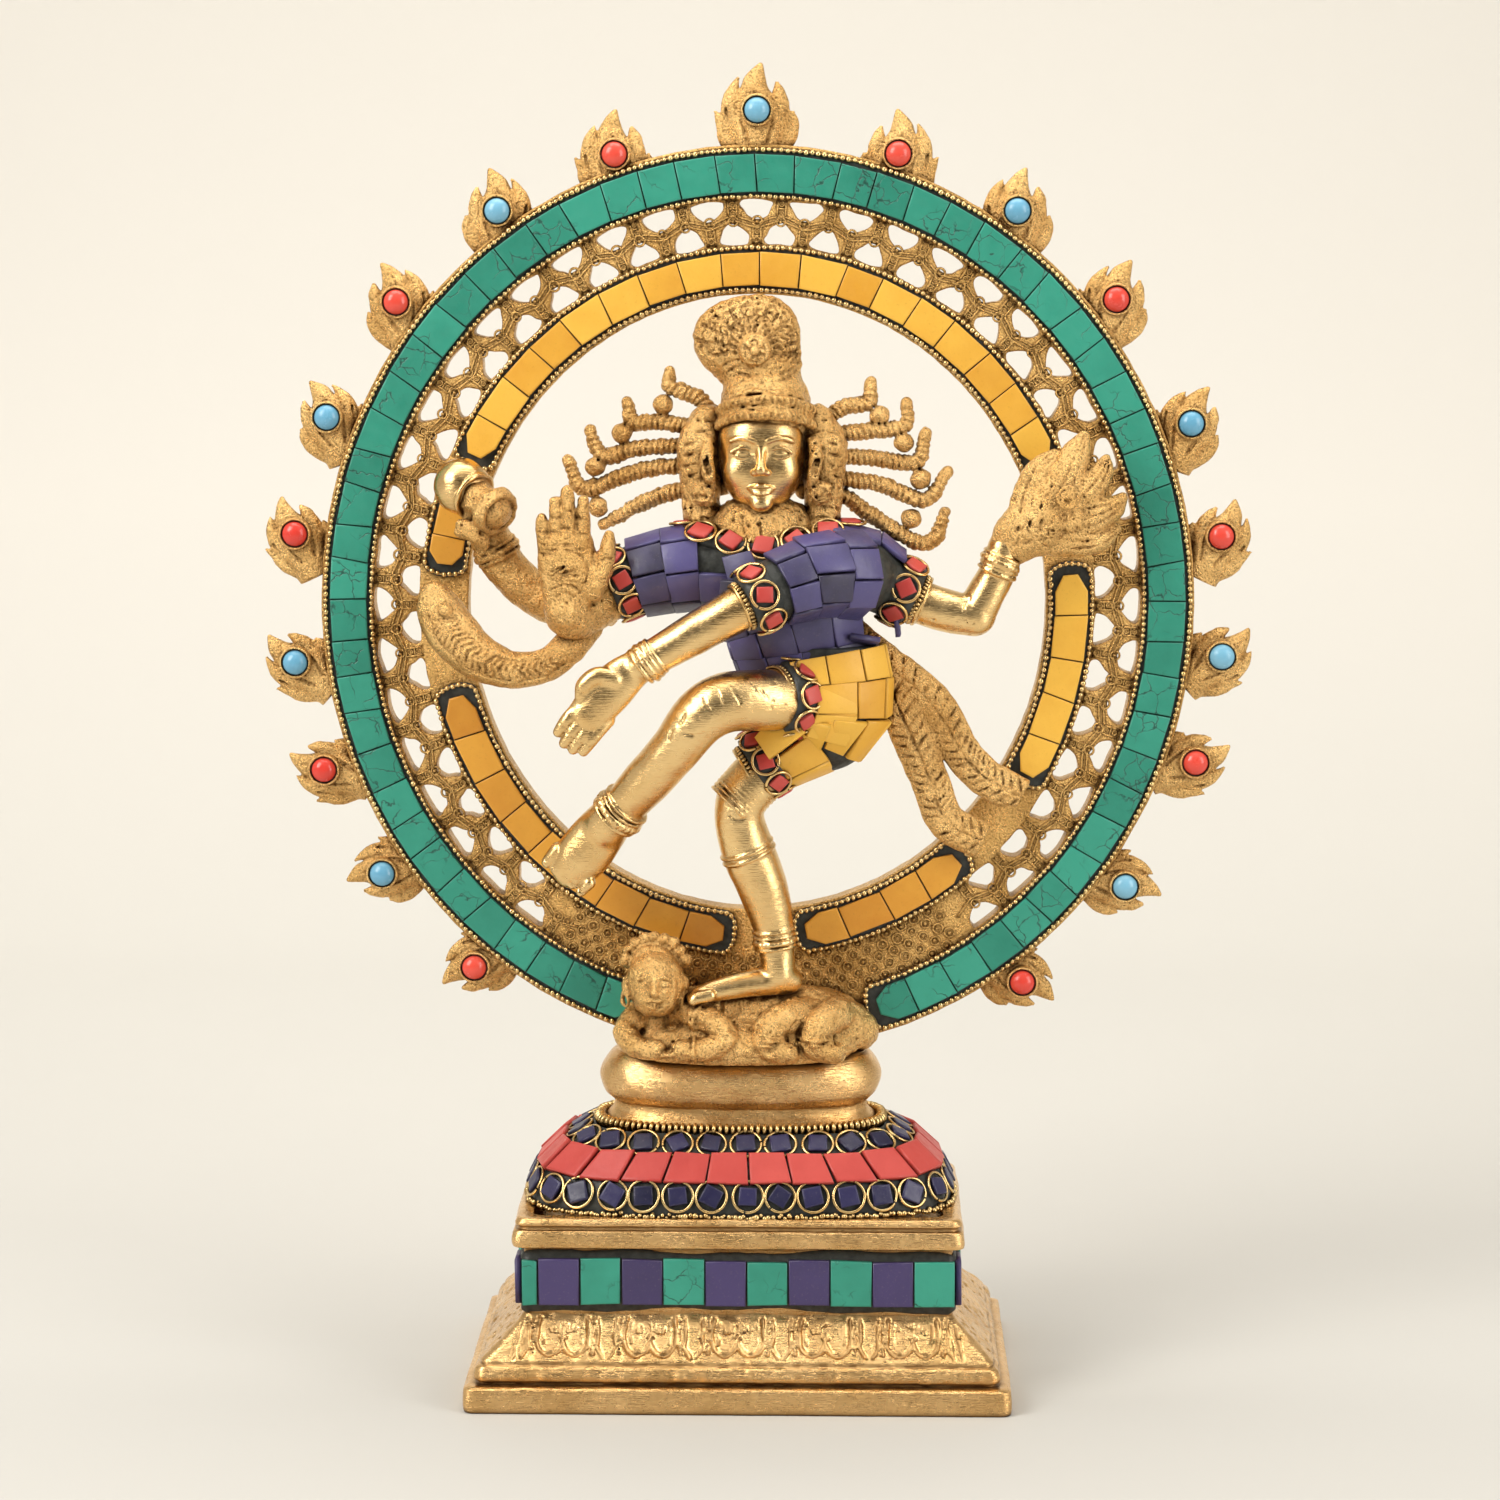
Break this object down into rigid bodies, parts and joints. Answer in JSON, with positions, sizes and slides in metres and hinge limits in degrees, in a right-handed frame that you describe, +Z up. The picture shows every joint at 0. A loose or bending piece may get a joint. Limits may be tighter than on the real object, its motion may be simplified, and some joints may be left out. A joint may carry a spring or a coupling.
{
  "type": "nataraja statue",
  "caption": "Brass dancing figure inside a pierced oval arch of flames, inlaid with stone tiles, on a stepped rectangular pedestal.",
  "frame": {"origin": "centre of the bounding box on the floor, under the middle of the pedestal's depth and of the arch's width", "axes": "+Z up, the figure faces -Y, +X is to the right of someone looking at the front"},
  "size_m": [0.2445, 0.0838, 0.3252],
  "materials": {
    "brass_casting": "cast brass, rubbed bright on the high parts with brown tarnish in the recesses",
    "brass_hardware": "turned brass stud, nut and washer",
    "black_lac": "black lac setting bed with coral chips in wire rings",
    "turquoise_tile": "cut turquoise-green stone with dark veins",
    "amber_tile": "cut amber-yellow stone",
    "lapis_tile": "cut dark violet-blue stone",
    "coral_tile": "cut coral-red stone",
    "sky_cabochon": "polished domed sky-blue stone",
    "coral_cabochon": "polished domed coral-red stone"
  },
  "bodies": {
    "root": {"amber_band_crown": "amber_tile", "amber_band_left_lower": "amber_tile", "amber_band_left_stub": "amber_tile", "amber_band_lower_right": "amber_tile", "amber_band_right": "amber_tile", "arch_casting": "brass_casting", "beaded_wire": "brass_casting", "blessing_arm": "brass_casting", "cabochon_01": "sky_cabochon", "cabochon_02": "coral_cabochon", "cabochon_03": "sky_cabochon", "cabochon_04": "coral_cabochon", "cabochon_05": "sky_cabochon", "cabochon_06": "coral_cabochon", "cabochon_07": "sky_cabochon", "cabochon_08": "coral_cabochon", "cabochon_09": "sky_cabochon", "cabochon_10": "coral_cabochon", "cabochon_11": "coral_cabochon", "cabochon_12": "sky_cabochon", "cabochon_13": "coral_cabochon", "cabochon_14": "sky_cabochon", "cabochon_15": "coral_cabochon", "cabochon_16": "sky_cabochon", "cabochon_17": "coral_cabochon", "cabochon_18": "sky_cabochon", "cabochon_19": "coral_cabochon", "cobra": "brass_casting", "coral_collar": "black_lac", "coral_cuff_front": "black_lac", "coral_cuff_left": "black_lac", "coral_cuff_raised_thigh": "black_lac", "coral_cuff_right": "black_lac", "coral_cuff_standing_thigh": "black_lac", "coral_tile_belt": "coral_tile", "crown_casting": "brass_casting", "dhoti_mosaic": "amber_tile", "drum": "brass_casting", "drum_arm": "brass_casting", "dwarf_casting": "brass_casting", "figure_core": "brass_casting", "flame_arm": "brass_casting", "frieze_mosaic": "turquoise_tile", "hair_fan_left": "brass_casting", "hair_fan_right": "brass_casting", "head_casting": "brass_casting", "lapis_ring_row_lower": "lapis_tile", "lapis_ring_row_upper": "lapis_tile", "lotus_seat_casting": "brass_casting", "plinth_casting": "brass_casting", "pointing_arm": "brass_casting", "raised_leg": "brass_casting", "scarf": "brass_casting", "standing_leg": "brass_casting", "tie_nut": "brass_hardware", "tie_stud": "brass_hardware", "tie_washer": "brass_hardware", "torso_mosaic": "lapis_tile", "turquoise_band": "turquoise_tile", "upper_pedestal_casting": "brass_casting"}
  },
  "joints": []
}
